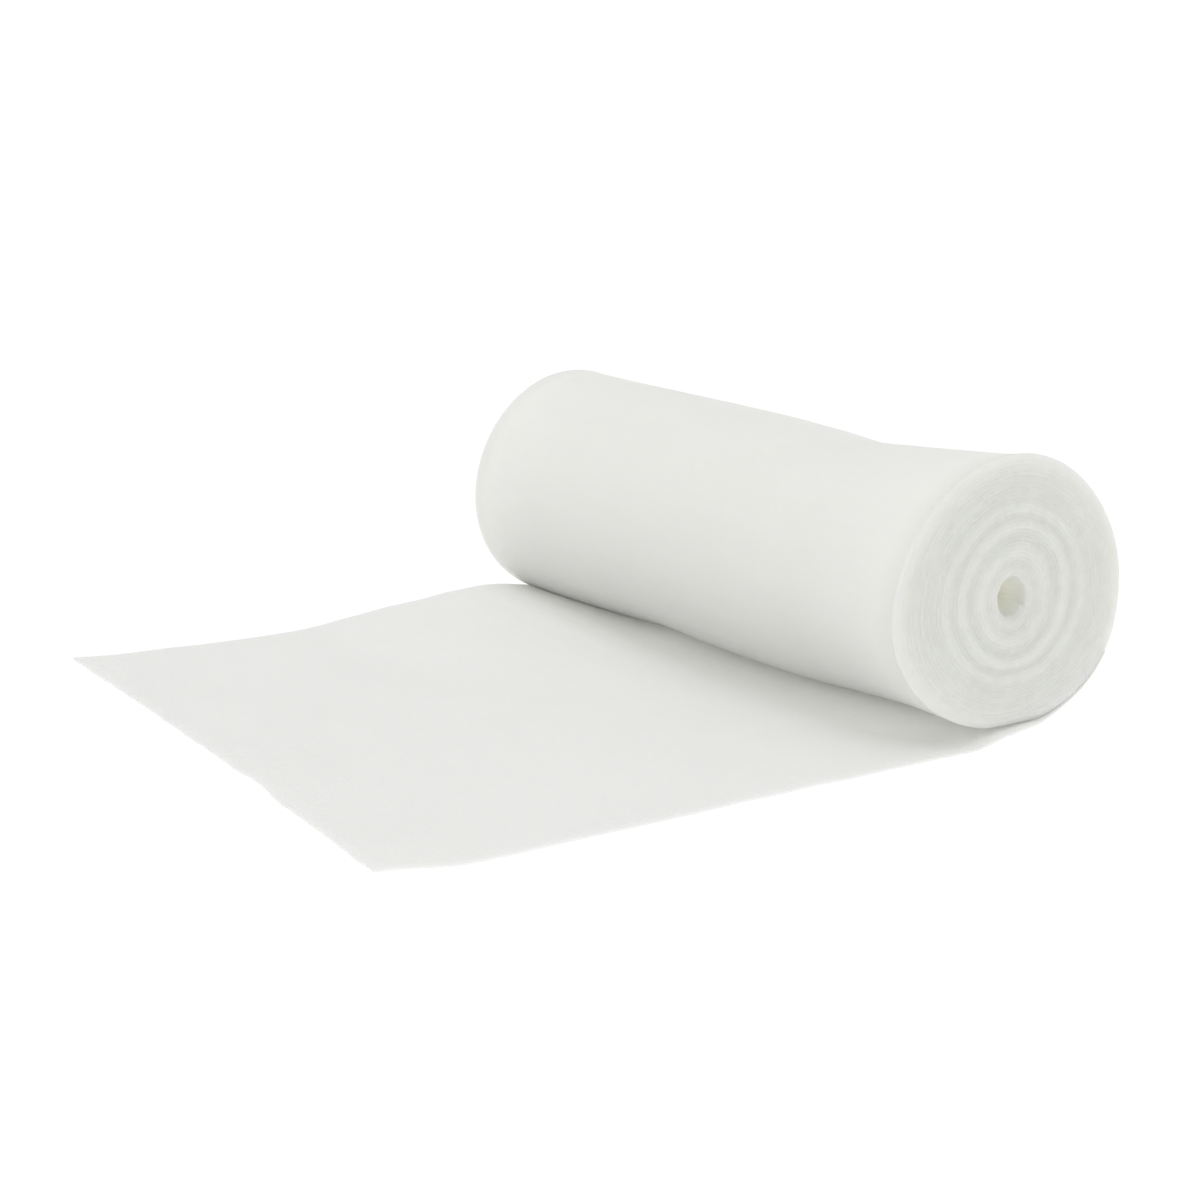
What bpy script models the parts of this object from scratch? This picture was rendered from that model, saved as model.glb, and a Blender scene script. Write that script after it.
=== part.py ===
"""Gauze bandage roll with its loose end drawn out over the surface.

One long strip of soft gauze is wound on itself around an open core. Two solids stand for it:
the wound roll, with the soft bands that its turns make on both ends, and the loose end, which
leaves the roll underneath and lies out flat. Units are metres and +Z is up. The roll's axis runs
along Y, the loose end runs towards -X, and the origin lies on the surface under the roll's axis.

Angles go round the roll's axis from straight down, by way of +X, over the top and down the -X
side. Seen from the -Y end that is counter-clockwise, and the cloth winds inwards that way.
"""
import math
from collections import namedtuple

import bmesh
import bpy

TAU = 2.0 * math.pi

# Driving dimensions of the strip.
STRIP_WIDTH = 0.100
CLOTH_THICKNESS = 0.001
LOOSE_LENGTH = 0.083
GAP = 0.0003
LAYER = CLOTH_THICKNESS + GAP

# The roll's own form. The shift centres its spiral outline over the origin.
CORE_RADIUS = 0.0026
CORE_RISE = 0.0004
CORE_DISH = 0.0011
RIM_ROUND = 0.0015
FACE_MARGIN = 1.2
FLAT_SAG = 0.0002
STEP_ANGLE = math.radians(60.0)
AXIS_SHIFT = -0.25 * LAYER
BAND_TURNS = 5.5
BAND_DEPTH = 0.0006

# How finely the solids are divided.
ROLL_COLUMNS = 48
SIDE_ROWS = 18
FACE_ROWS = 26
RIM_ROWS = 4
BORE_ROWS = 3
STRIP_ROWS = 20

# Sections of the roll from its near end, at -Y, to its far end. Each row is the place along the
# roll as a share of its width, the height of its top over the surface, how far its underside
# lifts off the loose end, and how wide it is from side to side.
Section = namedtuple("Section", "along top lift width")
ROLL_SECTIONS = (
    Section(0.00, 0.0351, 0.0009, 0.0354),
    Section(0.10, 0.0344, 0.0008, 0.0351),
    Section(0.20, 0.0337, 0.0005, 0.0350),
    Section(0.30, 0.0332, 0.0001, 0.0350),
    Section(0.38, 0.0339, 0.0000, 0.0352),
    Section(0.52, 0.0347, 0.0000, 0.0355),
    Section(0.72, 0.0355, 0.0000, 0.0360),
    Section(0.88, 0.0361, 0.0000, 0.0365),
    Section(1.00, 0.0367, 0.0000, 0.0370),
)

# The soft hump along the loose end's far edge. Each row is the distance from the roll's axis
# and how far the cloth's underside lifts there.
Hump = namedtuple("Hump", "distance lift")
EDGE_HUMP = (
    Hump(0.0040, 0.0000),
    Hump(0.0060, 0.0006),
    Hump(0.0120, 0.0024),
    Hump(0.0180, 0.0030),
    Hump(0.0310, 0.0017),
    Hump(0.0440, 0.0000),
)
HUMP_START = 0.32

# The corner of the cut edge on the near side turns in and curls up a little.
CORNER_LENGTH = 0.010
CORNER_REACH = 0.016
CORNER_TURN_IN = 0.0015
CORNER_CURL = 0.0006

# Distances from the roll's axis at which the flat stretch of the loose end is divided.
FLAT_STATIONS = (
    LOOSE_LENGTH, 0.0800, 0.0765, 0.0730, 0.0680, 0.0620, 0.0560, 0.0500, 0.0440, 0.0400,
    0.0355, 0.0310, 0.0265, 0.0220, 0.0180, 0.0150, 0.0120, 0.0090, 0.0060, 0.0040,
)

CLOTH_COLOUR = (0.800, 0.800, 0.768, 1.0)
LOOSE_COLOUR = (0.823, 0.823, 0.807, 1.0)
CLOTH_ROUGHNESS = 0.92
SMOOTH_ANGLE = math.radians(50.0)


def smooth_step(value):
    """Ease from 0 to 1 while the value goes from 0 to 1."""
    value = min(max(value, 0.0), 1.0)
    return value * value * (3.0 - 2.0 * value)


def table_value(rows, key, column, place):
    """Read a column of a table at a place between its rows, on a smooth curve through them."""
    places = [getattr(row, key) for row in rows]
    values = [getattr(row, column) for row in rows]
    if place <= places[0]:
        return values[0]
    if place >= places[-1]:
        return values[-1]
    last = len(rows) - 1
    lower = max(index for index in range(last) if places[index] <= place)

    def slope(index):
        before = max(index - 1, 0)
        after = min(index + 1, last)
        return (values[after] - values[before]) / (places[after] - places[before])

    span = places[lower + 1] - places[lower]
    part = (place - places[lower]) / span
    square = part * part
    cube = square * part
    return (
        values[lower] * (2.0 * cube - 3.0 * square + 1.0)
        + slope(lower) * span * (cube - 2.0 * square + part)
        + values[lower + 1] * (3.0 * square - 2.0 * cube)
        + slope(lower + 1) * span * (cube - square)
    )


def wound_share(angle):
    """Share of one turn that the cloth has wound inwards since the step in the outline."""
    return (angle - STEP_ANGLE) / TAU


def section_at(y):
    """Half width, half height, axis height and underside of the roll's section at y."""
    along = y / STRIP_WIDTH + 0.5
    top = table_value(ROLL_SECTIONS, "along", "top", along)
    lift = table_value(ROLL_SECTIONS, "along", "lift", along)
    width = table_value(ROLL_SECTIONS, "along", "width", along)
    underside = LAYER + lift
    lowest = underside - FLAT_SAG
    lost_at_top = LAYER * wound_share(math.pi)
    lost_at_bottom = LAYER * wound_share(TAU)
    lost_at_sides = LAYER * (wound_share(0.25 * TAU) + wound_share(0.75 * TAU))
    half_height = 0.5 * (top - lowest + lost_at_top + lost_at_bottom)
    half_width = 0.5 * (width + lost_at_sides)
    axis_height = lowest + half_height - lost_at_bottom
    return half_width, half_height, axis_height, underside


def oval_radius(half_width, half_height, angle):
    """Distance from an oval's middle to its edge at an angle from straight down."""
    across = half_height * math.sin(angle)
    upright = half_width * math.cos(angle)
    return half_width * half_height / math.hypot(across, upright)


def roll_radius(y, angle):
    """Radius of the roll's outline, which winds in by one layer from step to step."""
    half_width, half_height, _, _ = section_at(y)
    return oval_radius(half_width, half_height, angle) - LAYER * wound_share(angle)


def around_axis(y, angle, radius, rise=0.0):
    """Point at a radius and angle round the roll's axis."""
    axis_height = section_at(y)[2] + rise
    return (AXIS_SHIFT + radius * math.sin(angle), y, axis_height - radius * math.cos(angle))


def face_depth(radius, edge, angle):
    """How far an end face lies behind the strip's edge: a dished core and soft spiral troughs."""
    outward = (radius - CORE_RADIUS) / (edge - CORE_RADIUS)
    dish = CORE_DISH * (1.0 - outward) ** 3
    turns = BAND_TURNS * outward + wound_share(angle)
    trough = 0.5 - 0.5 * math.cos(TAU * turns)
    fade = smooth_step(5.0 * outward) * smooth_step(6.0 * (1.0 - outward))
    return dish + BAND_DEPTH * trough * fade


def end_points(angle, end):
    """Points of one end, from the core out over the face and round the rim, for one angle."""
    edge_y = 0.5 * STRIP_WIDTH * end
    half_width, half_height, _, _ = section_at(edge_y)
    oval = oval_radius(half_width, half_height, angle)
    shared_edge = oval - LAYER - FACE_MARGIN * RIM_ROUND
    points = []
    for row in range(FACE_ROWS + 1):
        outward = row / FACE_ROWS
        radius = CORE_RADIUS + (shared_edge - CORE_RADIUS) * outward
        depth = face_depth(radius, shared_edge, angle)
        x, _, z = around_axis(edge_y, angle, radius, CORE_RISE * (1.0 - outward))
        points.append((x, edge_y - end * depth, z))
    for row in range(RIM_ROWS):
        turn = 0.25 * TAU * row / RIM_ROWS
        y = edge_y - end * RIM_ROUND * (1.0 - math.cos(turn))
        radius = roll_radius(y, angle) - RIM_ROUND * (1.0 - math.sin(turn))
        points.append(rest_on_cloth(around_axis(y, angle, radius)))
    return points


def rest_on_cloth(point):
    """Flatten the roll's underside where it rests."""
    x, y, z = point
    return (x, y, max(z, section_at(y)[3]))


def side_points(angle):
    """Points along the roll's outside, from the near rim to the far rim, for one angle."""
    reach = 0.5 * STRIP_WIDTH - RIM_ROUND
    points = []
    for row in range(SIDE_ROWS + 1):
        y = -reach + 2.0 * reach * row / SIDE_ROWS
        points.append(rest_on_cloth(around_axis(y, angle, roll_radius(y, angle))))
    return points


def bore_points(near, far):
    """Points along the open core, from the far end back to the near end."""
    points = []
    for row in range(1, BORE_ROWS + 1):
        share = row / (BORE_ROWS + 1)
        points.append(tuple(a + (b - a) * share for a, b in zip(far, near)))
    return points


def build_wound_roll():
    """The wound roll: a closed ring of columns, with a one-layer step where the loose end meets."""
    mesh = bmesh.new()
    first_open = FACE_ROWS + 1
    columns = []
    for index in range(ROLL_COLUMNS + 1):
        angle = STEP_ANGLE + TAU * index / ROLL_COLUMNS
        near = end_points(angle, -1)
        side = side_points(angle)
        far = end_points(angle, 1)[::-1]
        points = near + side + far
        last_open = len(points) - FACE_ROWS - 2
        points += bore_points(near[0], far[-1])
        column = []
        for row, point in enumerate(points):
            shared = not first_open <= row <= last_open
            if index == ROLL_COLUMNS and shared:
                column.append(columns[0][row])
            else:
                column.append(mesh.verts.new(point))
        columns.append(column)
    rows = len(columns[0])
    for left, right in zip(columns, columns[1:]):
        for row in range(rows):
            after = (row + 1) % rows
            mesh.faces.new((left[row], right[row], right[after], left[after]))
    outer = columns[0]
    inner = columns[-1]
    for row in range(first_open - 1, last_open + 1):
        corners = dict.fromkeys((outer[row], outer[row + 1], inner[row + 1], inner[row]))
        mesh.faces.new(tuple(corners))
    return finish_object("wound_roll", mesh, CLOTH_COLOUR)


def hump_lift(distance, along):
    """Lift of the loose end's underside, on the hump that grows towards its far edge."""
    fade = smooth_step((along - HUMP_START) / (1.0 - HUMP_START))
    return fade * table_value(EDGE_HUMP, "distance", "lift", distance)


def corner_share(distance, along):
    """How much a point belongs to the turned-in corner, from 0 to 1."""
    lengthwise = smooth_step((distance - LOOSE_LENGTH + CORNER_LENGTH) / CORNER_LENGTH)
    crosswise = smooth_step(1.0 - along * STRIP_WIDTH / CORNER_REACH)
    return lengthwise * crosswise


def flat_pair(distance, along):
    """Lower and upper point of the loose end on its stretch over the surface."""
    corner = corner_share(distance, along)
    y = (along - 0.5) * STRIP_WIDTH + CORNER_TURN_IN * corner
    z = hump_lift(distance, along) + CORNER_CURL * corner
    return (-distance, y, z), (-distance, y, z + CLOTH_THICKNESS)


def wrap_pair(angle, along):
    """Lower and upper point of the loose end where it goes up round the back of the roll."""
    y = (along - 0.5) * STRIP_WIDTH
    lift = section_at(y)[3] - LAYER
    parted = lift * (1.0 - smooth_step(angle / STEP_ANGLE))
    inner = roll_radius(y, angle + TAU) + GAP + parted
    x_low, _, z_low = around_axis(y, angle, inner + CLOTH_THICKNESS)
    x_high, _, z_high = around_axis(y, angle, inner)
    return (x_low, y, max(z_low, 0.0)), (x_high, y, max(z_high, CLOTH_THICKNESS))


def build_loose_end():
    """The loose end: one thin sheet from its cut edge to the step in the roll's outline."""
    turn = TAU / ROLL_COLUMNS
    wrap_columns = round(STEP_ANGLE / turn)
    wrap_angles = [turn * index for index in range(1, wrap_columns)]
    wrap_angles.append(STEP_ANGLE - GAP / (0.5 * ROLL_SECTIONS[0].width))
    mesh = bmesh.new()
    lower = []
    upper = []
    for station in range(len(FLAT_STATIONS) + len(wrap_angles)):
        pairs = []
        for row in range(STRIP_ROWS + 1):
            along = row / STRIP_ROWS
            if station < len(FLAT_STATIONS):
                pairs.append(flat_pair(FLAT_STATIONS[station], along))
            else:
                pairs.append(wrap_pair(wrap_angles[station - len(FLAT_STATIONS)], along))
        lower.append([mesh.verts.new(low) for low, _ in pairs])
        upper.append([mesh.verts.new(high) for _, high in pairs])
    for grid in (lower, upper):
        for near, far in zip(grid, grid[1:]):
            for row in range(STRIP_ROWS):
                mesh.faces.new((near[row], near[row + 1], far[row + 1], far[row]))
    rims = [
        (lower[0], upper[0]),
        (lower[-1], upper[-1]),
        ([line[0] for line in lower], [line[0] for line in upper]),
        ([line[-1] for line in lower], [line[-1] for line in upper]),
    ]
    for low, high in rims:
        for index in range(len(low) - 1):
            mesh.faces.new((low[index], low[index + 1], high[index + 1], high[index]))
    return finish_object("loose_end", mesh, LOOSE_COLOUR)


def cloth_material(name, colour):
    """Matt off-white cloth."""
    material = bpy.data.materials.new(name)
    material.use_nodes = True
    shader = material.node_tree.nodes["Principled BSDF"]
    shader.inputs["Base Color"].default_value = colour
    shader.inputs["Roughness"].default_value = CLOTH_ROUGHNESS
    shader.inputs["Metallic"].default_value = 0.0
    return material


def finish_object(name, mesh, colour):
    """Turn a bmesh into a named object with its faces outward, its material and soft shading."""
    bmesh.ops.recalc_face_normals(mesh, faces=mesh.faces)
    data = bpy.data.meshes.new(name)
    mesh.to_mesh(data)
    mesh.free()
    data.materials.append(cloth_material(name + "_cloth", colour))
    data.shade_smooth()
    data.set_sharp_from_angle(angle=SMOOTH_ANGLE)
    piece = bpy.data.objects.new(name, data)
    bpy.context.scene.collection.objects.link(piece)
    return piece


def main():
    for item in list(bpy.data.objects):
        bpy.data.objects.remove(item, do_unlink=True)
    build_wound_roll()
    build_loose_end()


main()
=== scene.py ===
"""Looks of the gauze bandage roll: the wound turns, the drawn-out strip, its cloth and the studio.

Everything is in metres in the frame's own axes: +Z up, the roll's axis along Y, the loose end
running towards -X. Angles go round the roll's axis from straight down, by way of +X, over the top
and down the -X side, which is the way the cloth winds inwards.
"""
import math
from collections import namedtuple

import bpy
import numpy as np
from mathutils import Matrix, Vector


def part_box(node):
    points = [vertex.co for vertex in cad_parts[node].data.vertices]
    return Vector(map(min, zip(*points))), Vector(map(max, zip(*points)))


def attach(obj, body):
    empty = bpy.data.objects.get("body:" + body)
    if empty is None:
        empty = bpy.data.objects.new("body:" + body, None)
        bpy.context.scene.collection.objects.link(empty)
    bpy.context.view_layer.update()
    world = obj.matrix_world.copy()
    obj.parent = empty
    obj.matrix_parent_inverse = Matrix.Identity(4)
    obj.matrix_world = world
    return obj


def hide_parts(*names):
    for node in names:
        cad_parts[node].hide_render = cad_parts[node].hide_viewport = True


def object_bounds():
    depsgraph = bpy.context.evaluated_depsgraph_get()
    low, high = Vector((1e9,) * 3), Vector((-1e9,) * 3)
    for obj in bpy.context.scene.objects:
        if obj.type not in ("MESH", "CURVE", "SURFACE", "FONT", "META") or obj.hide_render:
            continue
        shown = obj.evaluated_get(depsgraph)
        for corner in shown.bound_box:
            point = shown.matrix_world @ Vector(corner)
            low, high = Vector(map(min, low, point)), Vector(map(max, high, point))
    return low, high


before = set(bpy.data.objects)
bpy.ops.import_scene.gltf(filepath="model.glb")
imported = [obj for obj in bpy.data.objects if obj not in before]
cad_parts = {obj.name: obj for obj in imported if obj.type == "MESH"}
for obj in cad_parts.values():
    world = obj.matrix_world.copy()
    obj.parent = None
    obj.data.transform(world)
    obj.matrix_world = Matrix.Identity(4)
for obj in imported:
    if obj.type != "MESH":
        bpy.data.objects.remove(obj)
cad_low, cad_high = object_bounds()

TAU = 2.0 * math.pi

# The strip, from the frame: its width, how far its loose end reaches, the radius that its wound
# length is measured on, one layer of cloth, and the clearance between it and the roll.
STRIP_LOW, STRIP_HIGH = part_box("loose_end")
HALF_WIDTH = 0.5 * (STRIP_HIGH.y - STRIP_LOW.y)
WIDTH = 2.0 * HALF_WIDTH
LOOSE_LENGTH = -STRIP_LOW.x
MEAN_RADIUS = 0.5 * (cad_high.z - cad_low.z)
CLOTH = 0.00045
CLEARANCE = 0.00002

# Sections of the roll from its near end, at -Y, to its far end: place along the roll as a share
# of its width, height of its top, lift of its underside off the loose end, width from side to
# side, how much wider its lower half sags than its upper half, and how far its lower half leans
# towards +X.
Section = namedtuple("Section", "along top lift width droop tilt")
ROLL_SECTIONS = (
    Section(0.00, 0.0350, 0.0017, 0.0371, 0.09, 0.032),
    Section(0.10, 0.0343, 0.0018, 0.0362, 0.08, 0.030),
    Section(0.20, 0.0337, 0.0014, 0.0352, 0.06, 0.016),
    Section(0.30, 0.0333, 0.0010, 0.0350, 0.06, 0.004),
    Section(0.38, 0.0340, 0.0009, 0.0352, 0.06, 0.004),
    Section(0.52, 0.0348, 0.0010, 0.0355, 0.06, 0.004),
    Section(0.60, 0.0351, 0.0013, 0.0357, 0.06, 0.004),
    Section(0.72, 0.0355, 0.0008, 0.0360, 0.06, 0.002),
    Section(0.88, 0.0361, 0.0004, 0.0363, 0.06, 0.000),
    Section(1.00, 0.0366, 0.0003, 0.0366, 0.06, 0.000),
)

# How far the roll settles on its underside, how softly it does, and where the strip's own piece
# ends and the wound turns go on.
SETTLE = 0.0003
SETTLE_SOFTNESS = 0.00018
JOIN_ANGLE = math.radians(60.0)

# How a turn's shape goes from round at the core to oval at the outside, how fast the core's shift
# dies away, and how fast the settling does.
ROUNDNESS_POWER = 0.6
SHIFT_POWER = 1.5
SETTLE_POWER = 4

# The two ends: how far the turns lie back from the strip's edge, how much deeper they lie at the
# core, and the soft rounding of the rim, along the radius and along the roll.
End = namedtuple("End", "side back dish rim_radial rim_axial seed")
NEAR_END = End(-1, 0.0004, 0.0006, 0.0040, 0.0012, 31)
FAR_END = End(1, 0.0000, 0.0006, 0.0030, 0.0006, 57)
DISH_POWER = 1.2

# How steeply the bands' wobble and the turns' unevenness die away towards the rim, and how far
# down its rounding the rim's outermost line lies, as a share.
WOBBLE_FADE = 6.0
UNEVEN_FADE = 8.0
RIM_REACH = 0.9999

# The turns inside the outermost one, and how many points go round each.
TURNS = 32
COLUMNS = 224

# Lines of points from one turn to the next: how far between them each lies, and how deep in the
# groove there. A groove is also painted a little darker, as painted shade.
TURN_STATIONS = (0.0, 0.16, 0.38, 0.62, 0.84)
TURN_DEPTHS = (1.0, 0.40, 0.0, 0.0, 0.40)
GROOVE = 0.00005
GROOVE_SHADE = 0.015

# The open core: its size, how far it lies off the roll's middle, how much it narrows and how far
# in, and the depths of its rows of points.
CORE_HALF_WIDTH = 0.0019
CORE_HALF_HEIGHT = 0.0023
CORE_SHIFT = (0.0005, -0.0007)
CORE_NECK_SHARE = 0.22
CORE_NECK_DEPTH = 0.0042
CORE_DEPTHS = (0.0005, 0.0012, 0.0022, 0.0034, 0.0050, 0.0080, 0.0140, 0.0250, 0.0400)
CORE_WEAVE_STEP = 0.0001

# Bands of turns that stand proud or lie back on the ends, by share of the way from the core to the
# rim, and how pale they look: the bands that lie back are painted darker, as painted shade in the
# recesses, and the outermost turns paler, where the ends' painted shade eases off at the rim.
Band = namedtuple("Band", "share depth tone")
END_BANDS = (
    Band(0.00, 0.00080, 0.96),
    Band(0.05, 0.00035, 0.97),
    Band(0.12, 0.00028, 0.98),
    Band(0.21, 0.00005, 1.02),
    Band(0.27, 0.00012, 0.99),
    Band(0.32, 0.00020, 0.97),
    Band(0.40, 0.00005, 1.02),
    Band(0.48, 0.00020, 0.97),
    Band(0.55, 0.00008, 1.01),
    Band(0.62, 0.00018, 0.98),
    Band(0.70, 0.00016, 0.98),
    Band(0.78, 0.00012, 0.98),
    Band(0.86, 0.00006, 0.99),
    Band(0.93, 0.00000, 1.005),
    Band(1.00, 0.00000, 1.035),
)

# How pale the ends are painted beside the roll's side: darker, as painted shade for the shaded
# grooves among the turns' cut edges, and partly the cut threads' own duller look. Also the core's
# mouth, and the core's inside.
ENDS_PAINTED_SHADE = 0.905
MOUTH_TONE = 0.97
# The core's inside is painted paler than the ends, as painted light in the shaded hole, and
# yellower.
CORE_PAINTED_LIGHT = (1.16, 1.14, 1.04)

# The roll's side: its rows of points and how they crowd at the ends, how much deeper its creases
# are than the strip's and how far from the ends they start, and how far its tone takes to darken to
# the rim's painted shade. A little way in from the ends it is painted a little paler, as painted
# light that evens out its shading there.
SIDE_ROWS = 92
SIDE_EVENNESS = 0.75
SIDE_CREASES = 1.6
SIDE_FADE = 0.0040
SIDE_PAINTED_LIGHT = 0.015
PALE_FROM = 0.0060
PALE_TO = 0.0220
PALE_FADE = 0.0120

# How far round from the join the side's creases start, and how far it stays opaque.
JOIN_CREASE_ANGLE = 0.25
JOIN_OPAQUE_ANGLE = 0.30

# Soft noises: height, grain along two lengths, and seed. The ends add their own seed. All are
# read from a lattice of random values, some cells in from its start.
LATTICE = (509, 251)
LATTICE_START = 40.0
Noise = namedtuple("Noise", "height first second seed")
CREASES = (
    Noise(0.000022, 0.0013, 0.0120, 11),
    Noise(0.000040, 0.0036, 0.0240, 12),
    Noise(0.000100, 0.0120, 0.0340, 13),
)
RIPPLE = (Noise(0.00006, 0.0190, 0.0260, 17),)
EDGE_WANDER = (Noise(0.00014, 0.0060, 1.0, 21),)
CUT_RAVEL = (Noise(0.00012, 0.0016, 1.0, 23),)
STRIP_CLOUDS = (Noise(0.010, 0.0080, 0.0120, 25),)
SIDE_CLOUDS = (Noise(0.008, 0.0070, 0.0110, 71),)
BAND_WOBBLE = (Noise(0.012, 0.0060, 0.0060, 0),)
TURN_UNEVENNESS = (
    Noise(0.00002, 0.0030, 0.5 / (TURNS + 1), 2),
    Noise(0.00004, 0.0150, 1.0 / (TURNS + 1), 4),
)
END_FUZZ = (Noise(0.00003, 0.0006, 0.0006, 6),)
END_MOTTLE = (Noise(0.018, 0.0011, 0.0011, 8), Noise(0.012, 0.0005, 0.0005, 10))

# The soft hump along the loose end's far edge: distance from the roll's axis and lift.
Hump = namedtuple("Hump", "distance lift")
EDGE_HUMP = (
    Hump(0.0025, 0.00000),
    Hump(0.0040, 0.00030),
    Hump(0.0060, 0.00090),
    Hump(0.0090, 0.00185),
    Hump(0.0120, 0.00250),
    Hump(0.0150, 0.00295),
    Hump(0.0182, 0.00315),
    Hump(0.0215, 0.00295),
    Hump(0.0254, 0.00270),
    Hump(0.0290, 0.00230),
    Hump(0.0324, 0.00200),
    Hump(0.0358, 0.00170),
    Hump(0.0392, 0.00130),
    Hump(0.0426, 0.00090),
    Hump(0.0460, 0.00040),
    Hump(0.0500, 0.00008),
    Hump(0.0540, 0.00000),
)
HUMP_START = 0.32

# Where the strip leaves the surface to follow the roll's lifted underside, how much earlier it
# does so away from its near edge, and how far that edge hangs off the roll.
PICK_UP_FROM = -0.0070
PICK_UP_TO = 0.0030
PICK_UP_EARLIER = 0.0060
EDGE_SHARE = 0.14
EDGE_PART = 0.0003
EDGE_PART_ANGLE = math.radians(30.0)

# Round the roll: how fast the strip takes up the roll's own middle and draws its edges in to the
# roll's rims, how much of a rim's rounding that covers, and how near the edges it happens.
CENTRE_RATE = 3.0
DRAW_IN_RATE = 1.6
DRAW_IN_RIM = 0.75
DRAW_IN_POWER = 6

# How the strip's two long edges stray from straight lines, by distance from the roll's axis, and
# how the cut edge does, by share of the width.
Edge = namedtuple("Edge", "distance near far")
LONG_EDGES = (
    Edge(0.0000, 0.0000, 0.0000),
    Edge(0.0120, 0.0000, -0.0010),
    Edge(0.0200, -0.0001, -0.0018),
    Edge(0.0320, -0.0002, -0.0022),
    Edge(0.0460, -0.0003, -0.0024),
    Edge(0.0580, -0.0004, -0.0026),
    Edge(0.0680, -0.0006, -0.0023),
    Edge(0.0760, -0.0005, -0.0018),
    Edge(0.0830, -0.0003, 0.0000),
)
Cut = namedtuple("Cut", "along shift")
CUT_EDGE = (
    Cut(0.00, -0.0007),
    Cut(0.04, -0.0006),
    Cut(0.12, 0.0000),
    Cut(0.25, 0.0002),
    Cut(0.45, 0.0005),
    Cut(0.65, 0.0005),
    Cut(0.85, 0.0002),
    Cut(1.00, 0.0000),
)
CUT_REACH = 0.0250

# The cut edge's near corner, which turns in and curls, and one small buckle beside it.
CORNER_LENGTH = 0.0095
CORNER_REACH = 0.0150
CORNER_TURN_IN = 0.0016
CORNER_CURL = 0.0005
BUCKLE_ALONG = 0.333
BUCKLE_WIDTH = 0.0045
BUCKLE_LENGTH = 0.0080
BUCKLE_LIFT = 0.0005

# How finely the strip is divided, and how evenly across its width.
FLAT_STEP = 0.00065
WRAP_STEP = 0.00060
ACROSS_ROWS = 150
ACROSS_EVENNESS = 0.8

# How much thinner the strip is at its very edge and how far in, how round that edge is, and how
# far its ravelled cut edge and its wandering long edges reach in.
EDGE_THINNING = 0.00012
EDGE_THIN_REACH = 0.0012
EDGE_ROUNDING = 0.22
RAVEL_REACH = 0.0030
WANDER_POWER = 9

# Where the loose end goes from rippled to smooth on its way to the roll, as shares of its length.
SMOOTH_FROM = 0.88
SMOOTH_OVER = 0.10

# How much paler the strip looks where it wraps the turns, on its way to full at a share of that
# stretch. It is opaque there too, and swells a little to meet the outermost turn.
WRAP_TONE = (1.20, 1.215, 1.165)
WRAP_TONE_SHARE = 0.8
JOIN_SWELL = 0.00006

# Edges sharper than these are shaded as edges.
STRIP_SHARP = math.radians(35.0)
TURNS_SHARP = math.radians(60.0)

# The cloth: its paler and deeper colour, and how far light goes in it. The threads' pitch.
Cloth = namedtuple("Cloth", "pale deep scatter")
STRIP_CLOTH = Cloth((0.715, 0.713, 0.705, 1.0), (0.690, 0.688, 0.680, 1.0), 0.0022)
TURNS_CLOTH = Cloth((0.882, 0.891, 0.846, 1.0), (0.855, 0.864, 0.819, 1.0), 0.0030)
WARP_PITCH = 0.00062
WEFT_PITCH = 0.00070

# How far apart the bands of a wave texture of scale 1 lie.
WAVE_PERIOD = TAU / 20.0

# Scale and detail of the cloth's noises, how the crease noise is stretched across the strip, and
# what each adds to the cloth's colour and to its relief.
CREASE_NOISE = (900.0, 3.0)
LINT_NOISE = (1300.0, 3.0)
CLOUD_NOISE = (120.0, 2.0)
CREASE_STRETCH = (1.0, 0.08, 1.0)
CLOUD_COLOUR = 0.35
LINT_COLOUR = 0.30
CREASE_COLOUR = 0.35
WEAVE_RELIEF = 0.2
CREASE_RELIEF = 0.5
LINT_RELIEF = 0.5
BUMP_HEIGHT = 0.00010

# The studio: a white sweep with a low wall, an even white surround, and a soft box.
SWEEP_RADIUS = 2.8
SWEEP_HEIGHT = 0.50
SWEEP_LEVEL = -0.00003
SWEEP_SIDES = 96
SWEEP_COLOUR = (0.08, 0.08, 0.08, 1.0)
SWEEP_GLOW = 0.97
WHITE = (1.0, 1.0, 1.0, 1.0)
SURROUND = 0.76
SOFT_BOX_SIZE = 0.8
SOFT_BOX_POWER = 1.25
SOFT_BOX_PLACE = Vector((-0.25, -0.25, 0.9))
SOFT_BOX_AIM = Vector((-0.03, 0.0, 0.0))

# The camera that took the photo, as an orbit round a point on the surface.
CAMERA_AZIMUTH = math.radians(-32.51)
CAMERA_ELEVATION = math.radians(12.76)
CAMERA_DISTANCE = 0.2961
CAMERA_TARGET = Vector((0.00034, 0.04242, 0.0))
CAMERA_LENS = 54.94
CAMERA_SENSOR = 36.0
CAMERA_CLIP = 0.01


# --- Small helpers ---------------------------------------------------------------------------

def smooth_step(value):
    """Ease from 0 to 1 while the value goes from 0 to 1."""
    value = np.clip(value, 0.0, 1.0)
    return value * value * (3.0 - 2.0 * value)


def soft_floor(height, floor):
    """The height, kept above the floor with a soft turn where they meet."""
    gap = height - floor
    eased = 0.5 * (gap + np.sqrt(gap * gap + SETTLE_SOFTNESS * SETTLE_SOFTNESS))
    return floor + eased - 0.5 * SETTLE_SOFTNESS


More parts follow.
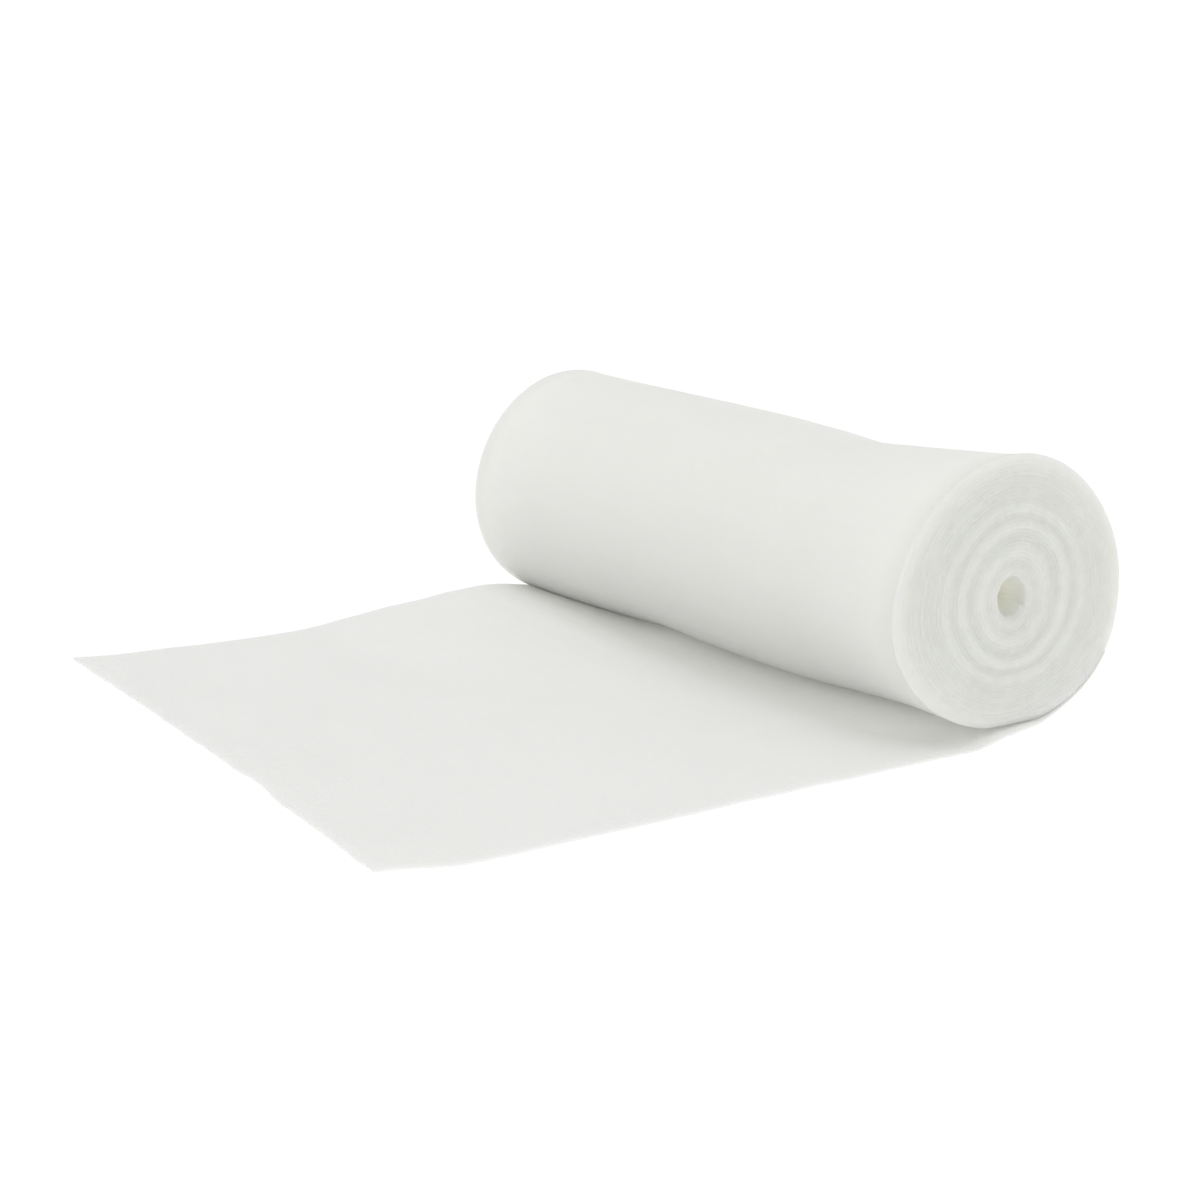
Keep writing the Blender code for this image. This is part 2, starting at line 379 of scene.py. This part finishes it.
def read_table(rows, key, column, place):
    """A column of a table, read at places between its rows on a smooth curve."""
    keys = np.array([getattr(row, key) for row in rows])
    values = np.array([getattr(row, column) for row in rows])
    slopes = np.gradient(values, keys)
    place = np.clip(place, keys[0], keys[-1])
    lower = np.clip(np.searchsorted(keys, place, side="right") - 1, 0, len(keys) - 2)
    span = keys[lower + 1] - keys[lower]
    part = (place - keys[lower]) / span
    square = part * part
    cube = square * part
    return (
        values[lower] * (2.0 * cube - 3.0 * square + 1.0)
        + slopes[lower] * span * (cube - 2.0 * square + part)
        + values[lower + 1] * (3.0 * square - 2.0 * cube)
        + slopes[lower + 1] * span * (cube - square)
    )


def soft_noise(first, second, first_grain, second_grain, seed):
    """Smooth noise from -1 to 1 over two lengths, with its own grain along each."""
    lattice = np.random.default_rng(seed).uniform(-1.0, 1.0, LATTICE)
    a = np.asarray(first) / first_grain + LATTICE_START
    b = np.asarray(second) / second_grain + LATTICE_START
    a_cell = np.floor(a).astype(int)
    b_cell = np.floor(b).astype(int)
    a_part = smooth_step(a - a_cell)
    b_part = smooth_step(b - b_cell)
    a_low, a_high = a_cell % LATTICE[0], (a_cell + 1) % LATTICE[0]
    b_low, b_high = b_cell % LATTICE[1], (b_cell + 1) % LATTICE[1]
    near = lattice[a_low, b_low]
    near = near + (lattice[a_high, b_low] - near) * a_part
    far = lattice[a_low, b_high]
    far = far + (lattice[a_high, b_high] - far) * a_part
    return near + (far - near) * b_part


def add_noises(noises, first, second, seed=0):
    """The sum of soft noises over two lengths, each at its own height."""
    return sum(
        noise.height * soft_noise(first, second, noise.first, noise.second, noise.seed + seed)
        for noise in noises)


def spread_out(count, evenness):
    """Shares from 0 to 1 that lie closer together towards both ends."""
    spread = np.linspace(-1.0, 1.0, count)
    return 0.5 + 0.5 * (evenness * spread + (1.0 - evenness) * np.sin(0.5 * math.pi * spread))


def with_sheerness(tone, sheerness):
    """Colour tones with a fourth column for how sheer the cloth is."""
    return np.concatenate((tone + np.zeros((1, 3)), sheerness + 0.0 * tone[:, :1]), axis=1)


def make_piece(name, points, faces, coords, tones, sharp_angle):
    """A smooth mesh object with strip coordinates, a tone and a sheerness for every point."""
    data = bpy.data.meshes.new(name)
    data.from_pydata(points.tolist(), [], faces)
    layer = data.uv_layers.new(name="strip")
    corners = np.zeros(len(data.loops), dtype=np.int32)
    data.loops.foreach_get("vertex_index", corners)
    layer.uv.foreach_set("vector", coords[corners].astype(np.float32).ravel())
    tone = data.attributes.new("tone", "FLOAT_COLOR", "POINT")
    tone.data.foreach_set("color", tones.astype(np.float32).ravel())
    data.shade_smooth()
    data.set_sharp_from_angle(angle=sharp_angle)
    piece = bpy.data.objects.new(name, data)
    bpy.context.scene.collection.objects.link(piece)
    return piece


# --- The roll's form -------------------------------------------------------------------------

def section_at(y):
    """Half width and height, middle x and z, underside, droop and tilt of the roll at y."""
    along = 0.5 + 0.5 * np.asarray(y) / HALF_WIDTH
    top = read_table(ROLL_SECTIONS, "along", "top", along)
    lift = read_table(ROLL_SECTIONS, "along", "lift", along)
    width = read_table(ROLL_SECTIONS, "along", "width", along)
    droop = read_table(ROLL_SECTIONS, "along", "droop", along)
    tilt = read_table(ROLL_SECTIONS, "along", "tilt", along)
    underside = CLOTH + CLEARANCE + lift
    lowest = underside - SETTLE
    at_top = 1.0 - lag_share(math.pi)
    at_bottom = 1.0 - lag_share(TAU)
    half_height = (top - lowest) / (at_top + at_bottom)
    half_width = width / (2.0 - lag_share(0.25 * TAU) - lag_share(0.75 * TAU))
    centre_height = lowest + half_height * at_bottom
    centre = -0.5 * half_width * (lag_share(0.75 * TAU) - lag_share(0.25 * TAU))
    return half_width, half_height, centre, centre_height, underside, droop, tilt


def lag_share(angle):
    """How far the outer turn lies inside the roll's full radius, as a share of it."""
    return (angle - JOIN_ANGLE) / TAU / (TURNS + 1)


def oval(half_width, half_height, angle):
    """Radius of an oval at an angle from straight down."""
    across = np.hypot(half_height * np.sin(angle), half_width * np.cos(angle))
    return half_width * half_height / across


def roll_point(y, angle, share):
    """A point of the wound cloth, at a share of the way from the core to the full radius."""
    half_width, half_height, centre, centre_height, underside, droop, tilt = section_at(y)
    core = oval(CORE_HALF_WIDTH, CORE_HALF_HEIGHT, angle)
    lean = tilt * np.sin(2.0 * angle) * smooth_step(2.0 * np.cos(angle))
    reach = oval(half_width, half_height, angle) * (1.0 + lean)
    mean = 0.5 * (half_width + half_height)
    full = mean + (reach - mean) * share ** ROUNDNESS_POWER
    radius = core + (full - core) * share
    inner = (1.0 - share) ** SHIFT_POWER
    sag = 1.0 + droop * share ** 2 * np.cos(angle)
    x = centre + CORE_SHIFT[0] * inner + radius * np.sin(angle) * sag
    z = centre_height + CORE_SHIFT[1] * inner - radius * np.cos(angle)
    outer_share = 1.0 - lag_share(JOIN_ANGLE + (angle - JOIN_ANGLE) % TAU)
    outer_z = centre_height - full * outer_share * np.cos(angle)
    settle = soft_floor(outer_z, underside) - outer_z
    return x, z + settle * share ** SETTLE_POWER, radius, full


# --- The strip -------------------------------------------------------------------------------

def pick_up(x, along):
    """How far the strip has gone from lying on the surface to hugging the roll."""
    earlier = PICK_UP_EARLIER * smooth_step(along / EDGE_SHARE)
    return smooth_step((x + earlier - PICK_UP_FROM) / (PICK_UP_TO - PICK_UP_FROM))


def hang(along):
    """How far the strip's near edge hangs below the roll's underside."""
    return EDGE_PART * smooth_step(1.0 - along / EDGE_SHARE)


def flat_stretch(distance, along):
    """Underside of the strip on the surface, as x, y and z."""
    near = read_table(LONG_EDGES, "distance", "near", distance)
    far = read_table(LONG_EDGES, "distance", "far", distance)
    y = (2.0 * along - 1.0) * HALF_WIDTH + near * (1.0 - along) + far * along
    from_cut = smooth_step(1.0 - (LOOSE_LENGTH - distance) / CUT_REACH)
    x = read_table(CUT_EDGE, "along", "shift", along) * from_cut - distance
    lengthwise = smooth_step((distance - LOOSE_LENGTH + CORNER_LENGTH) / CORNER_LENGTH)
    crosswise = smooth_step(1.0 - along * WIDTH / CORNER_REACH)
    corner = lengthwise * crosswise
    buckle_across = (along - BUCKLE_ALONG) * WIDTH / BUCKLE_WIDTH
    buckle_length = np.clip(1.0 - (LOOSE_LENGTH - distance) / BUCKLE_LENGTH, 0.0, 1.0)
    buckle = BUCKLE_LIFT * np.exp(-buckle_across ** 2) * buckle_length ** 2
    fade = smooth_step((along - HUMP_START) / (1.0 - HUMP_START))
    hump = fade * read_table(EDGE_HUMP, "distance", "lift", distance)
    lift = read_table(ROLL_SECTIONS, "along", "lift", along) - hang(along)
    rise = lift * pick_up(-distance, along)
    return x, y + CORNER_TURN_IN * corner, hump + CORNER_CURL * corner + buckle + rise


def wrap_stretch(angle, along):
    """Outer face of the strip where it starts round the roll, as x, y and z."""
    nominal = (2.0 * along - 1.0) * HALF_WIDTH
    under = angle + TAU
    x, z, _, _ = roll_point(nominal, under, 1.0 - lag_share(under))
    centre = section_at(nominal)[2]
    lift = read_table(ROLL_SECTIONS, "along", "lift", along) - hang(along)
    parted = hang(along) * (1.0 - smooth_step(angle / EDGE_PART_ANGLE))
    outward = CLOTH + CLEARANCE + parted + JOIN_SWELL * smooth_step(angle / JOIN_ANGLE)
    x = x - centre * smooth_step(1.0 - CENTRE_RATE * angle / JOIN_ANGLE) + outward * np.sin(angle)
    z = z - outward * np.cos(angle) - lift * (1.0 - pick_up(x, along))
    drawn_in = smooth_step(DRAW_IN_RATE * angle / JOIN_ANGLE)
    near = NEAR_END.back + DRAW_IN_RIM * NEAR_END.rim_axial
    far = FAR_END.back + DRAW_IN_RIM * FAR_END.rim_axial
    reach = near * (1.0 - along) ** DRAW_IN_POWER - far * along ** DRAW_IN_POWER
    return x, nominal + drawn_in * reach, z


def strip_middle(along):
    """Outer face of the whole strip, and how far along it each station lies."""
    flat_count = round(LOOSE_LENGTH / FLAT_STEP)
    distances = np.linspace(LOOSE_LENGTH, 0.0, flat_count, endpoint=False)[:, None]
    wrap_count = round(JOIN_ANGLE * MEAN_RADIUS / WRAP_STEP)
    angles = np.linspace(0.0, JOIN_ANGLE, wrap_count + 1)[:, None]
    flat = np.stack(np.broadcast_arrays(*flat_stretch(distances, along)), -1)
    wrap = np.stack(np.broadcast_arrays(*wrap_stretch(angles, along)), -1)
    place = np.concatenate((LOOSE_LENGTH - distances, LOOSE_LENGTH + angles * MEAN_RADIUS))
    return np.concatenate((flat, wrap)), place


def strip_faces(stations, rows):
    """Faces of a closed sheet with a rounded edge, and the numbers of its border points."""
    count = stations * rows
    index = np.arange(count).reshape(stations, rows)
    corners = (index[:-1, :-1], index[:-1, 1:], index[1:, 1:], index[1:, :-1])
    down = np.stack(corners, -1).reshape(-1, 4)
    faces = down.tolist() + (down[:, ::-1] + count).tolist()
    border = np.concatenate((index[:-1, 0], index[-1, :-1], index[:0:-1, -1], index[0, :0:-1]))
    following = np.roll(np.arange(len(border)), -1)
    after = border[following]
    ring = 2 * count + np.arange(len(border))
    faces += np.stack((border, after, ring[following], ring), -1).tolist()
    faces += np.stack((ring, ring[following], after + count, border + count), -1).tolist()
    return faces, border


def strip_tones(place, across):
    """Tones of the strip: even on the surface, and like the roll's where it wraps the turns."""
    tone = 1.0 + add_noises(STRIP_CLOUDS, place, across)
    wrapped = (place - LOOSE_LENGTH) / (WRAP_TONE_SHARE * JOIN_ANGLE * MEAN_RADIUS)
    wrapped = smooth_step(wrapped).reshape(-1, 1)
    tones = tone.reshape(-1, 1) * (1.0 + wrapped * (np.array(WRAP_TONE) - 1.0))
    return with_sheerness(tones, 1.0 - wrapped)


def build_strip():
    """One thin sheet: the loose end on the surface, and the first sixth of its turn."""
    along = spread_out(ACROSS_ROWS + 1, ACROSS_EVENNESS)[None, :]
    outer, stations = strip_middle(along)
    place = stations + 0.0 * along
    across = WIDTH * along + 0.0 * place
    inward = np.cross(np.gradient(outer, axis=0), np.gradient(outer, axis=1))
    inward *= np.sign(inward[0, ACROSS_ROWS // 2, 2])
    inward /= np.linalg.norm(inward, axis=2, keepdims=True)

    ripple = RIPPLE[0].height + add_noises(RIPPLE, place, across)
    rippled = 1.0 - smooth_step((place / LOOSE_LENGTH - SMOOTH_FROM) / SMOOTH_OVER)
    shift = (np.maximum(add_noises(CREASES, place, across), 0.0) + ripple) * rippled
    none = np.zeros_like(place)
    wander = add_noises(EDGE_WANDER, place, none) * (2.0 * along - 1.0) ** WANDER_POWER
    ravel = add_noises(CUT_RAVEL, across, none) * smooth_step(1.0 - place / RAVEL_REACH)
    lower = outer + inward * shift[:, :, None]
    lower[:, :, 1] += wander
    lower[:, :, 0] += ravel
    edge = np.minimum(np.minimum(across, WIDTH - across), place)
    thickness = CLOTH - EDGE_THINNING * (1.0 - smooth_step(edge / EDGE_THIN_REACH))
    upper = lower + inward * thickness[:, :, None]

    faces, border = strip_faces(*place.shape)
    ring = edge_ring(0.5 * (lower + upper), border)
    points = np.concatenate((lower.reshape(-1, 3), upper.reshape(-1, 3), ring))
    coords = np.stack((place.ravel(), across.ravel()), -1)
    coords = np.concatenate((coords, coords, coords[border]))
    tones = strip_tones(place, across)
    tones = np.concatenate((tones, tones, tones[border]))
    strip = make_piece("gauze_strip", points, faces, coords, tones, STRIP_SHARP)
    return strip, float(stations[-1, 0])


def edge_ring(middle, border):
    """Points halfway up the strip's edge, pushed out a little so that the edge is round."""
    stations, rows = middle.shape[:2]
    station, row = border // rows, border % rows
    inside = middle[np.clip(station, 1, stations - 2), np.clip(row, 1, rows - 2)]
    here = middle[station, row]
    outward = here - inside
    outward /= np.linalg.norm(outward, axis=1, keepdims=True)
    return here + outward * (EDGE_ROUNDING * CLOTH)


# --- The wound turns -------------------------------------------------------------------------

def end_points(end, station, depth_share):
    """Points of the spiral on one end at a station between two turns, with their tones."""
    columns = np.arange(TURNS * COLUMNS + (COLUMNS if station == 0.0 else 0) + 1)
    angle = JOIN_ANGLE + TAU * (TURNS + 1 - columns / COLUMNS)
    share = np.minimum((columns / COLUMNS + station) / (TURNS + 1), 1.0)
    x, z, radius, full = roll_point(end.side * HALF_WIDTH, angle, share)
    ring = np.cos(angle) * radius, np.sin(angle) * radius
    place = angle * radius
    wobble = add_noises(BAND_WOBBLE, *ring, end.seed)
    wobble = wobble * np.minimum(1.0, WOBBLE_FADE * (1.0 - share))
    band_share = np.clip(share + wobble, 0.0, 1.0)
    inside = np.minimum(1.0, UNEVEN_FADE * (1.0 - share))

    depth = end.back + end.dish * (1.0 - share) ** DISH_POWER
    depth = depth + read_table(END_BANDS, "share", "depth", band_share)
    from_rim = np.clip(1.0 - (full - radius) / end.rim_radial, 0.0, RIM_REACH)
    depth = depth + end.rim_axial * (1.0 - np.sqrt(1.0 - from_rim ** 2))
    uneven = add_noises(TURN_UNEVENNESS, place, share, end.seed)
    uneven = uneven + add_noises(END_FUZZ, *ring, end.seed)
    depth = depth + (uneven + GROOVE * depth_share) * inside
    points = np.stack((x, end.side * (HALF_WIDTH - depth), z), -1)

    # Painted shade: bands that lie back are darker, and the outermost turns lighter where the ends'
    # painted shade eases off.
    tone = read_table(END_BANDS, "share", "tone", band_share)
    tone = tone + add_noises(END_MOTTLE, *ring, end.seed) * inside
    # Painted shade: the whole end is darker than the side, and each groove is a little darker
    # still.
    tone = ENDS_PAINTED_SHADE * tone * (1.0 - GROOVE_SHADE * depth_share * inside)
    coords = np.stack((place, WIDTH + radius), -1)
    return points, coords, with_sheerness(tone[:, None], 1.0)


class Mesh:
    """Points, coordinates and tones that grow as the roll is built up."""

    def __init__(self):
        self.points = []
        self.coords = []
        self.tones = []
        self.faces = []
        self.count = 0

    def add(self, points, coords, tones):
        """Add points and return their numbers."""
        self.points.append(points)
        self.coords.append(coords)
        self.tones.append(tones)
        numbers = np.arange(self.count, self.count + len(points))
        self.count += len(points)
        return numbers

    def skin(self, lines, flip):
        """Quads between following lines of points."""
        for low, high in zip(lines, lines[1:]):
            quads = np.stack((low[:-1], low[1:], high[1:], high[:-1]), -1)
            self.faces += (quads[:, ::-1] if flip else quads).tolist()

    def all_points(self):
        """Every point so far."""
        return np.concatenate(self.points)


def side_rows(mesh, near_line, far_line):
    """Rows of the roll's side, from the near end's outer line to the far end's.

    The strip covers the last sixth of this turn, and creases only go inwards there.
    """
    points = mesh.all_points()
    near_y, far_y = points[near_line, 1], points[far_line, 1]
    columns = np.arange(TURNS * COLUMNS, (TURNS + 1) * COLUMNS + 1)
    angle = JOIN_ANGLE + TAU * (TURNS + 1 - columns / COLUMNS)
    share = columns / COLUMNS / (TURNS + 1)
    place = LOOSE_LENGTH + angle * MEAN_RADIUS
    past_join = angle - JOIN_ANGLE - TAU * np.floor((angle - JOIN_ANGLE) / TAU)
    covered = past_join > TAU - JOIN_ANGLE
    creased = SIDE_CREASES * np.where(covered, 1.0, smooth_step(past_join / JOIN_CREASE_ANGLE))
    sheer = smooth_step(np.minimum(past_join, TAU - past_join)[:, None] / JOIN_OPAQUE_ANGLE)
    rim_painted_shade = ENDS_PAINTED_SHADE * END_BANDS[-1].tone
    lines = [near_line]
    for part in spread_out(SIDE_ROWS + 2, SIDE_EVENNESS)[1:-1]:
        y = near_y + (far_y - near_y) * part
        x, z, _, _ = roll_point(y, angle, share)
        edge = min(part, 1.0 - part) * WIDTH
        from_edge = smooth_step(edge / SIDE_FADE)
        relief = creased * from_edge * add_noises(CREASES, place, y + HALF_WIDTH)
        relief = np.where(covered, np.minimum(relief, 0.0), relief)
        x = x + relief * np.sin(angle)
        z = z - relief * np.cos(angle)
        row_points = np.stack((x, y, z), -1)
        coords = np.stack((place, y + HALF_WIDTH), -1)
        # Painted light: a band a little way in from each end is paler.
        pale = smooth_step(edge / PALE_FROM) * smooth_step((PALE_TO - edge) / PALE_FADE)
        tone = 1.0 + add_noises(SIDE_CLOUDS, place, y) + SIDE_PAINTED_LIGHT * pale
        # Painted shade: towards each end the side darkens to the rim's painted shade.
        tone = tone - (1.0 - rim_painted_shade) * (1.0 - from_edge)
        lines.append(mesh.add(row_points, coords, with_sheerness(tone[:, None], sheer)))
    return lines + [far_line]


def core_rows(mesh, near_line, far_line):
    """Rows of the open core, which narrows a little way in."""
    points = mesh.all_points()
    near, far = points[near_line], points[far_line]
    around = np.arange(len(near)) * CORE_WEAVE_STEP
    mouth_tone = np.full(3, ENDS_PAINTED_SHADE * MOUTH_TONE)
    depths = np.array(CORE_DEPTHS)
    lines = [near_line]
    for depth in np.concatenate((depths, WIDTH - depths[::-1])):
        row_points = near + (far - near) * (depth / WIDTH)
        centre = row_points.mean(axis=0)
        eased = float(smooth_step(min(depth, WIDTH - depth) / CORE_NECK_DEPTH))
        narrow = 1.0 - (1.0 - CORE_NECK_SHARE) * eased
        row_points[:, 0] = centre[0] + (row_points[:, 0] - centre[0]) * narrow
        row_points[:, 2] = centre[2] + (row_points[:, 2] - centre[2]) * narrow
        coords = np.stack((around, np.full(len(near), depth)), -1)
        # Painted light: the core's inside grows paler and yellower away from its mouth.
        tone = (1.0 - eased) * mouth_tone + eased * np.array(CORE_PAINTED_LIGHT)
        tones = with_sheerness(np.tile(tone, (len(near), 1)), 1.0)
        lines.append(mesh.add(row_points, coords, tones))
    return lines + [far_line]


def step_wall(mesh, lines, near_steps, far_steps, flip):
    """The cloth's cut thickness, from the start of each row to its end."""
    loops = [[lines[0][0]] + near_steps + [lines[0][-1], lines[1][-1], lines[1][0]]]
    for low, high in zip(lines[1:-2], lines[2:-1]):
        loops.append([low[0], low[-1], high[-1], high[0]])
    loops.append([lines[-1][-1]] + far_steps[::-1] + [lines[-1][0], lines[-2][0], lines[-2][-1]])
    for loop in loops:
        loop = [int(number) for number in loop]
        mesh.faces.append(loop[::-1] if flip else loop)


def build_turns():
    """The wound turns: a spiral on both ends, joined by the side and the open core."""
    mesh = Mesh()
    ends = []
    for end in (NEAR_END, FAR_END):
        lines = [mesh.add(*end_points(end, *pair)) for pair in zip(TURN_STATIONS, TURN_DEPTHS)]
        inner = [line[: TURNS * COLUMNS + 1] for line in lines]
        mesh.skin(inner + [lines[0][COLUMNS:]], end.side > 0)
        ends.append(lines)
    near, far = ends
    outer_start = TURNS * COLUMNS
    side = side_rows(mesh, near[0][outer_start:], far[0][outer_start:])
    mesh.skin(side, False)
    core = core_rows(mesh, near[0][: COLUMNS + 1], far[0][: COLUMNS + 1])
    mesh.skin(core, True)
    for lines, column, flip in ((side, outer_start, True), (core, 0, False)):
        near_steps = [line[column] for line in near[1:]]
        far_steps = [line[column] for line in far[1:]]
        step_wall(mesh, lines, near_steps, far_steps, flip)
    return make_piece(
        "gauze_turns", mesh.all_points(), mesh.faces,
        np.concatenate(mesh.coords), np.concatenate(mesh.tones), TURNS_SHARP)


# --- Materials -------------------------------------------------------------------------------

def add_math(tree, operation, first, second):
    """A math node on two sockets or numbers. Returns its output."""
    node = tree.nodes.new("ShaderNodeMath")
    node.operation = operation
    for socket, value in zip(node.inputs, (first, second)):
        if isinstance(value, (int, float)):
            socket.default_value = value
        else:
            tree.links.new(value, socket)
    return node.outputs[0]


def add_weighted(tree, *parts):
    """The sum of sockets, each times its own weight. Returns its output."""
    total = None
    for socket, weight in parts:
        part = add_math(tree, "MULTIPLY", socket, weight)
        total = part if total is None else add_math(tree, "ADD", total, part)
    return total


def add_noise(tree, place, scale, detail):
    """Noise over a place. Returns its factor."""
    noise = tree.nodes.new("ShaderNodeTexNoise")
    noise.inputs["Scale"].default_value = scale
    noise.inputs["Detail"].default_value = detail
    tree.links.new(place, noise.inputs["Vector"])
    return noise.outputs["Fac"]


def add_threads(tree, place, pitch, direction):
    """Rounded threads one pitch apart, slightly wavering. Returns their height."""
    wave = tree.nodes.new("ShaderNodeTexWave")
    wave.bands_direction = direction
    wave.inputs["Scale"].default_value = WAVE_PERIOD / pitch
    wave.inputs["Distortion"].default_value = 1.2
    wave.inputs["Detail"].default_value = 2.0
    wave.inputs["Detail Scale"].default_value = 0.35
    tree.links.new(place, wave.inputs["Vector"])
    return wave.outputs["Fac"]


def gauze_material(name, cloth):
    """Soft woven cotton: threads both ways, creases across the strip, faint mottling."""
    material = bpy.data.materials.new(name)
    material.use_nodes = True
    tree = material.node_tree
    shader = tree.nodes["Principled BSDF"]
    shader.inputs["Roughness"].default_value = 0.92
    shader.inputs["Specular IOR Level"].default_value = 0.15
    shader.inputs["Sheen Weight"].default_value = 0.06
    shader.inputs["Sheen Roughness"].default_value = 0.6
    shader.inputs["Subsurface Radius"].default_value = (1.0, 1.0, 0.9)
    shader.inputs["Subsurface Scale"].default_value = cloth.scatter

    strip = tree.nodes.new("ShaderNodeUVMap")
    strip.uv_map = "strip"
    squeeze = tree.nodes.new("ShaderNodeMapping")
    squeeze.inputs["Scale"].default_value = CREASE_STRETCH
    tree.links.new(strip.outputs["UV"], squeeze.inputs["Vector"])
    around = tree.nodes.new("ShaderNodeTexCoord").outputs["Object"]

    warp = add_threads(tree, strip.outputs["UV"], WARP_PITCH, "Y")
    weft = add_threads(tree, strip.outputs["UV"], WEFT_PITCH, "X")
    weave = add_math(tree, "MAXIMUM", warp, weft)
    crease = add_noise(tree, squeeze.outputs["Vector"], *CREASE_NOISE)
    lint = add_noise(tree, around, *LINT_NOISE)
    cloud = add_noise(tree, around, *CLOUD_NOISE)

    blotch = add_weighted(
        tree, (cloud, CLOUD_COLOUR), (lint, LINT_COLOUR), (crease, CREASE_COLOUR))
    shade = tree.nodes.new("ShaderNodeMix")
    shade.data_type = "RGBA"
    shade.inputs["A"].default_value = cloth.pale
    shade.inputs["B"].default_value = cloth.deep
    tree.links.new(blotch, shade.inputs["Factor"])
    # The tone attribute carries the painted shade of the ends, grooves and side ends and the
    # painted light in the core and along the side, besides the cloth's own mottling.
    tone = tree.nodes.new("ShaderNodeAttribute")
    tone.attribute_name = "tone"
    toned = tree.nodes.new("ShaderNodeMix")
    toned.data_type = "RGBA"
    toned.blend_type = "MULTIPLY"
    toned.inputs["Factor"].default_value = 1.0
    tree.links.new(shade.outputs["Result"], toned.inputs["A"])
    tree.links.new(tone.outputs["Color"], toned.inputs["B"])
    tree.links.new(tone.outputs["Alpha"], shader.inputs["Subsurface Weight"])
    tree.links.new(toned.outputs["Result"], shader.inputs["Base Color"])

    height = add_weighted(
        tree, (weave, WEAVE_RELIEF), (crease, CREASE_RELIEF), (lint, LINT_RELIEF))
    bump = tree.nodes.new("ShaderNodeBump")
    bump.inputs["Strength"].default_value = 0.5
    bump.inputs["Distance"].default_value = BUMP_HEIGHT
    tree.links.new(height, bump.inputs["Height"])
    tree.links.new(bump.outputs["Normal"], shader.inputs["Normal"])
    return material


# --- The studio ------------------------------------------------------------------------------

def build_floor():
    """A plain white sweep: the surface and a low wall round it, so even that it holds no shadow."""
    turn = [TAU * side / SWEEP_SIDES for side in range(SWEEP_SIDES)]
    points = [
        (SWEEP_RADIUS * math.cos(angle), SWEEP_RADIUS * math.sin(angle), SWEEP_LEVEL)
        for angle in turn]
    points += [(x, y, SWEEP_HEIGHT) for x, y, _ in points]
    faces = [tuple(range(SWEEP_SIDES))]
    for side in range(SWEEP_SIDES):
        after = (side + 1) % SWEEP_SIDES
        faces.append((side, side + SWEEP_SIDES, after + SWEEP_SIDES, after))
    data = bpy.data.meshes.new("floor")
    data.from_pydata(points, [], faces)
    floor = bpy.data.objects.new("floor", data)
    bpy.context.scene.collection.objects.link(floor)
    material = bpy.data.materials.new("floor_white")
    material.use_nodes = True
    shader = material.node_tree.nodes["Principled BSDF"]
    shader.inputs["Base Color"].default_value = SWEEP_COLOUR
    shader.inputs["Roughness"].default_value = 0.9
    shader.inputs["Specular IOR Level"].default_value = 0.0
    shader.inputs["Emission Color"].default_value = WHITE
    shader.inputs["Emission Strength"].default_value = SWEEP_GLOW
    data.materials.append(material)


def build_light():
    """An even white surround, and one soft box above the loose end."""
    world = bpy.data.worlds.new("studio")
    bpy.context.scene.world = world
    world.use_nodes = True
    sky = world.node_tree.nodes["Background"]
    sky.inputs["Color"].default_value = WHITE
    sky.inputs["Strength"].default_value = SURROUND
    lamp = bpy.data.lights.new("overhead", "AREA")
    lamp.shape = "SQUARE"
    lamp.size = SOFT_BOX_SIZE
    lamp.energy = SOFT_BOX_POWER
    holder = bpy.data.objects.new("overhead", lamp)
    holder.location = SOFT_BOX_PLACE
    holder.rotation_euler = (SOFT_BOX_AIM - SOFT_BOX_PLACE).to_track_quat("-Z", "Y").to_euler()
    bpy.context.scene.collection.objects.link(holder)


def build_camera():
    """The photo's viewpoint: an orbit round the target, level, with a normal lens."""
    back = Vector((
        math.sin(CAMERA_AZIMUTH) * math.cos(CAMERA_ELEVATION),
        -math.cos(CAMERA_AZIMUTH) * math.cos(CAMERA_ELEVATION),
        math.sin(CAMERA_ELEVATION),
    ))
    right = Vector((math.cos(CAMERA_AZIMUTH), math.sin(CAMERA_AZIMUTH), 0.0))
    up = back.cross(right)
    data = bpy.data.cameras.new("camera")
    data.lens = CAMERA_LENS
    data.sensor_width = CAMERA_SENSOR
    data.clip_start = CAMERA_CLIP
    camera = bpy.data.objects.new("camera", data)
    camera.matrix_world = (
        Matrix.Translation(CAMERA_TARGET + back * CAMERA_DISTANCE)
        @ Matrix((right, up, back)).transposed().to_4x4()
    )
    bpy.context.scene.collection.objects.link(camera)
    bpy.context.scene.camera = camera


def main():
    build_camera()
    strip, strip_length = build_strip()
    turns = build_turns()
    strip.data.materials.append(gauze_material("strip_gauze", STRIP_CLOTH))
    turns.data.materials.append(gauze_material("turns_gauze", TURNS_CLOTH))
    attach(strip, "root")
    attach(turns, "root")
    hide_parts("loose_end")
    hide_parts("wound_roll")
    build_floor()
    build_light()
    bpy.context.scene.view_settings.view_transform = "Standard"


main()
